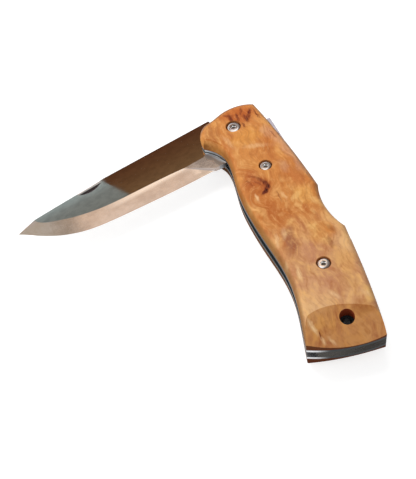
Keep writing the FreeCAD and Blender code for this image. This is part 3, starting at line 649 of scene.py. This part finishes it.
# Steps of the painted shade, in the order that Shader.step takes: start, end, full, before.
# By the distance in millimetres from the slot's middle, up or down
INSIDE_REACH = (SLOT_HALF + 0.2, SLOT_HALF + 0.05)
SOCKET_REACH = (TOP - MIDDLE - 0.45, TOP - MIDDLE - 0.7)
# By millimetres along and across the handle
INSIDE_ALONG = (50.0, 46.0)
LINER_BELLY_ALONG = (-38.0, -34.0)
LINER_BUTT_ACROSS = (-13.5, -8.5, 0.93)
SPACER_ALONG = (40.0, 52.0)
SPACER_ACROSS = (-10.0, 6.0, 0.97, 0.6)
# By how far the liner faces the back or the butt
LINER_BELLY_SLOPE = (-0.4, -0.8)
LINER_BUTT_SLOPE = (0.6, 0.9)
# From the rim of a screw's lit patch inwards
LIT_PATCH_RIM = (0.12, 0.36)

# Radii in millimetres of the painted shade in the lanyard hole, and of the dirt and painted shade in a screw's
# socket
HOLE_SHADE_RADIUS = 2.7
DARK_SOCKET_RADIUS = 0.92
# Radius of a screw's lit patch in head radii, and the strength of the painted shade outside it
LIT_PATCH_RADIUS = 1.3
RIM_SHADE_STRENGTH = 0.9


def liner_painted_shade(shader, place):
    """Painted shade on the inner faces and in the lanyard hole, and a painted dark reflection on the belly's edges
    and most of the butt.
    """
    along, across, height = shader.split(place)
    toward_butt, toward_back = shader.normal()[:2]
    between = shader.step(shader.from_middle(height), *INSIDE_REACH)
    inside = shader.both(between, shader.step(along, *INSIDE_ALONG))
    belly = shader.both(shader.step(toward_back, *LINER_BELLY_SLOPE), shader.step(along, *LINER_BELLY_ALONG))
    butt = shader.both(shader.step(toward_butt, *LINER_BUTT_SLOPE), shader.step(across, *LINER_BUTT_ACROSS))
    return shader.most(inside, belly, butt, shader.near(place, LANYARD, HOLE_SHADE_RADIUS))


def spacer_painted_shade(shader, place):
    """Painted shade in the lanyard hole, and a painted dark reflection at the butt, most of all towards its back
    corner.
    """
    along, across = shader.split(place)[:2]
    butt = shader.both(shader.step(along, *SPACER_ALONG), shader.step(across, *SPACER_ACROSS))
    return shader.most(butt, shader.near(place, LANYARD, HOLE_SHADE_RADIUS))


def screw_shade_and_dirt(shader, place):
    """Sockets are dark with dirt and painted shade, and painted shade darkens each head outside its lit patch."""
    height = shader.split(place)[2]
    sockets = shader.most(*[shader.near(place, centre, DARK_SOCKET_RADIUS) for centre in SCREWS.values()])
    low = shader.step(shader.from_middle(height), *SOCKET_REACH)
    lit_patches = []
    for name, centre in SCREWS.items():
        radius = (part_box(name)[1].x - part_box(name)[0].x) / 2 / MM
        middle = centre + Vector(LIT_PATCH_SHIFTS[name]) * radius
        sizes = (LIT_PATCH_RADIUS * radius, LIT_PATCH_RADIUS * radius, TALL)
        lit_patches.append(shader.step(shader.spot(place, (*middle, MIDDLE), sizes), *LIT_PATCH_RIM))
    # Painted shade on each head outside its lit patch
    rim_shade = shader.math("SUBTRACT", 1.0, shader.most(*lit_patches))
    return shader.most(shader.both(sockets, low), shader.both(rim_shade, RIM_SHADE_STRENGTH))


# Plain metals by slot: tint, roughness, then the function and the colour of their painted shade, which in the
# screws' sockets is also dirt
METALS = {
    "lock_steel": ((0.9, 0.9, 0.91, 1), 0.2),
    "liner_steel": ((0.7, 0.71, 0.73, 1), 0.2, liner_painted_shade, (0.035, 0.045, 0.05, 1)),
    "spacer_steel": ((0.13, 0.125, 0.115, 1), 0.25, spacer_painted_shade, (0.032, 0.024, 0.017, 1)),
    "pin_steel": ((0.65, 0.65, 0.65, 1), 0.25),
    "screw_steel": ((1.0, 0.99, 0.98, 1), 0.12, screw_shade_and_dirt, (0.14, 0.11, 0.09, 1)),
    "washer_brass": ((0.8, 0.6, 0.3, 1), 0.3),
}


def add_materials():
    """Each node shows the material of its slot."""
    materials = {slot: metal(slot, *looks) for slot, looks in METALS.items()}
    materials["blade_steel"] = blade_steel()
    materials["scale_wood"] = wood()
    for subpart in frame["record"]["subparts"]:
        piece = nodes[subpart["node"]]
        piece.data.materials.clear()
        piece.data.materials.append(materials[subpart["material_slot"]])


def add_leaf():
    """Copy of the lock spring as a piece of its own, in place of the CAD part, which is hidden."""
    leaf = bpy.data.objects.new("leaf_spring", nodes["lock_spring"].data.copy())
    bpy.context.scene.collection.objects.link(leaf)
    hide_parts("lock_spring")
    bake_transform(leaf)


def add_mesh(name, corners, faces, material):
    """Piece of the stage, which isn't part of the knife."""
    mesh = bpy.data.meshes.new(name)
    mesh.from_pydata([tuple(corner) for corner in corners], [], faces)
    mesh.materials.append(material)
    thing = bpy.data.objects.new(name, mesh)
    bpy.context.scene.collection.objects.link(thing)
    return thing


# The floor's half width and height in metres, its grey, and the glow that whitens it
FLOOR_REACH = 12.0
FLOOR_LEVEL = -0.1 * MM
FLOOR_GREY = (0.5, 0.5, 0.5, 1)
FLOOR_GLOW = 0.76


def add_floor():
    """Plain pale floor, white to the camera and to metal, which keeps the knife's shadow."""
    shader = Shader("floor")
    path = shader.add("LightPath").outputs
    seen = shader.most(path["Is Camera Ray"], path["Is Glossy Ray"], path["Is Transmission Ray"])
    diffuse = shader.add("BsdfDiffuse", {"Color": FLOOR_GREY})
    glow = shader.add("Emission", {"Color": WHITE, "Strength": shader.math("MULTIPLY", seen, FLOOR_GLOW)})
    material = shader.output(shader.add("AddShader", {0: diffuse.outputs[0], 1: glow.outputs[0]}))
    sides = [(-1, -1), (1, -1), (1, 1), (-1, 1)]
    corners = [(along * FLOOR_REACH, across * FLOOR_REACH, FLOOR_LEVEL) for along, across in sides]
    add_mesh("floor", corners, [(0, 1, 2, 3)], material)


# Strength of the surroundings as light, and where they are seen
WORLD_LIGHT = 0.4
WORLD_SEEN = 1.0


def add_world():
    """Even pale surroundings, white where they are seen."""
    world = bpy.data.worlds.new("studio")
    world.use_nodes = True
    bpy.context.scene.world = world
    tree = world.node_tree
    tree.nodes.clear()
    path = tree.nodes.new("ShaderNodeLightPath")
    seen = tree.nodes.new("ShaderNodeMath")
    seen.operation = "MAXIMUM"
    tree.links.new(path.outputs["Is Camera Ray"], seen.inputs[0])
    tree.links.new(path.outputs["Is Glossy Ray"], seen.inputs[1])
    level = tree.nodes.new("ShaderNodeMapRange")
    level.inputs["To Min"].default_value = WORLD_LIGHT
    level.inputs["To Max"].default_value = WORLD_SEEN
    tree.links.new(seen.outputs[0], level.inputs["Value"])
    background = tree.nodes.new("ShaderNodeBackground")
    background.inputs["Color"].default_value = WHITE
    tree.links.new(level.outputs[0], background.inputs["Strength"])
    output = tree.nodes.new("ShaderNodeOutputWorld")
    tree.links.new(background.outputs[0], output.inputs["Surface"])


# Reflector cards over the knife: height in millimetres, then rows.
# Each row has two places in millimetres along and across the blade from its pivot, and a display colour.
# A place is where the camera sees that part of the card mirrored in the blade's level upper side
CARDS = {
    "brown_card": (300, [
        ((-8.0, -40.0), (67.2, -40.0), (92, 54, 34)),
        ((-8.0, -14.5), (55.9, -14.5), (92, 54, 34)),
        ((-8.0, -6.0), (52.2, -6.0), (106, 72, 46)),
        ((-8.0, 2.0), (48.6, 2.0), (122, 90, 60)),
        ((-8.0, 12.0), (44.2, 12.0), (122, 90, 60)),
    ]),
    "blue_card": (300, [
        ((67.2, -40.0), (160.0, -40.0), (178, 192, 190)),
        ((55.9, -14.5), (160.0, -14.5), (178, 192, 190)),
        ((52.6, -7.0), (160.0, -7.0), (134, 137, 132)),
        ((48.6, 2.0), (160.0, 2.0), (128, 129, 122)),
        ((44.2, 12.0), (160.0, 12.0), (128, 129, 122)),
    ]),
    "nick_card": (290, [
        ((55.4, -13.8), (66.0, -12.6), (255, 230, 220)),
        ((55.4, -12.3), (66.0, -11.4), (255, 230, 220)),
    ]),
    "tab_card": (300, [
        ((-60.0, -60.0), (-8.0, -60.0), (226, 224, 246)),
        ((-60.0, 12.0), (-8.0, 12.0), (226, 224, 246)),
    ]),
    "grey_card": (300, [
        ((-60.0, 12.0), (160.0, 12.0), (178, 160, 148)),
        ((-60.0, 42.0), (160.0, 42.0), (178, 160, 148)),
    ]),
    "warm_card": (300, [
        ((-20.0, 42.0), (88.0, 42.0), (255, 223, 196)),
        ((-20.0, 84.0), (88.0, 84.0), (255, 223, 196)),
    ]),
    "dull_card": (300, [
        ((88.0, 42.0), (160.0, 42.0), (168, 151, 132)),
        ((88.0, 84.0), (160.0, 84.0), (168, 151, 132)),
    ]),
}


def over_blade(along, across, height):
    """Point at a height that the camera sees mirrored in the blade's upper side there."""
    on_flat = PIVOT + Matrix.Rotation(BLADE_TURN, 3, "Z") @ (Vector((along, across, 0)) * MM)
    on_flat.z = BLADE_TOP
    eye = Vector((CAMERA_PLACE.x, CAMERA_PLACE.y, 2 * BLADE_TOP - CAMERA_PLACE.z))
    return eye + (on_flat - eye) * ((height * MM - eye.z) / (BLADE_TOP - eye.z))


def add_card(name, corners, faces, shades):
    """Coloured card that only polished metal shows."""
    shader = Shader(name)
    shade = shader.add("VertexColor", layer_name="shade").outputs["Color"]
    material = shader.output(shader.add("Emission", {"Color": shade, "Strength": 1.0}))
    card = add_mesh(name, corners, faces, material)
    layer = card.data.color_attributes.new("shade", "FLOAT_COLOR", "POINT")
    for point, colour in zip(layer.data, shades):
        point.color = linear(*colour)
    card.visible_camera = False
    card.visible_diffuse = False
    card.visible_shadow = False
    card.visible_transmission = False


def add_cards():
    """All reflector cards, each a strip of quads from row to row."""
    for name, (height, rows) in CARDS.items():
        corners = []
        shades = []
        for start, end, colour in rows:
            corners += [over_blade(*start, height), over_blade(*end, height)]
            shades += [colour, colour]
        faces = [(2 * row, 2 * row + 1, 2 * row + 3, 2 * row + 2) for row in range(len(rows) - 1)]
        add_card(name, corners, faces, shades)


# Soft lamps: place, aim and width in metres, power in watts
LAMPS = {
    "key": ((-0.36, -0.05, 0.42), (0, -0.02, 0), 0.4, 2.1),
    "fill": ((-0.12, -0.5, 0.26), (0, 0, 0), 0.4, 0.9),
}


def add_lamps():
    """Square soft lamps, which metal doesn't show."""
    for name, (place, aim, width, power) in LAMPS.items():
        lamp = bpy.data.lights.new(name, "AREA")
        lamp.size = width
        lamp.energy = power
        thing = bpy.data.objects.new(name, lamp)
        thing.location = place
        thing.rotation_euler = (Vector(aim) - Vector(place)).to_track_quat("-Z", "Y").to_euler()
        thing.visible_glossy = False
        bpy.context.scene.collection.objects.link(thing)


def add_camera():
    """Camera of the photograph, which is rolled about its line of sight."""
    forward = (CAMERA_AIM - CAMERA_PLACE).normalized()
    level = forward.cross(UP).normalized()
    upward = level.cross(forward)
    across = level * math.cos(CAMERA_ROLL) - upward * math.sin(CAMERA_ROLL)
    rise = level * math.sin(CAMERA_ROLL) + upward * math.cos(CAMERA_ROLL)
    lens = bpy.data.cameras.new("camera")
    lens.sensor_width = SENSOR
    lens.lens = FOCAL_PIXELS / IMAGE_HEIGHT * SENSOR
    lens.clip_start = CAMERA_NEAR
    camera = bpy.data.objects.new("camera", lens)
    turn = Matrix((across, rise, -forward)).transposed()
    camera.matrix_world = Matrix.Translation(CAMERA_PLACE) @ turn.to_4x4()
    bpy.context.scene.collection.objects.link(camera)
    bpy.context.scene.camera = camera


add_materials()
add_leaf()
add_floor()
add_world()
add_cards()
add_lamps()
add_camera()
bpy.context.scene.view_settings.view_transform = "Standard"
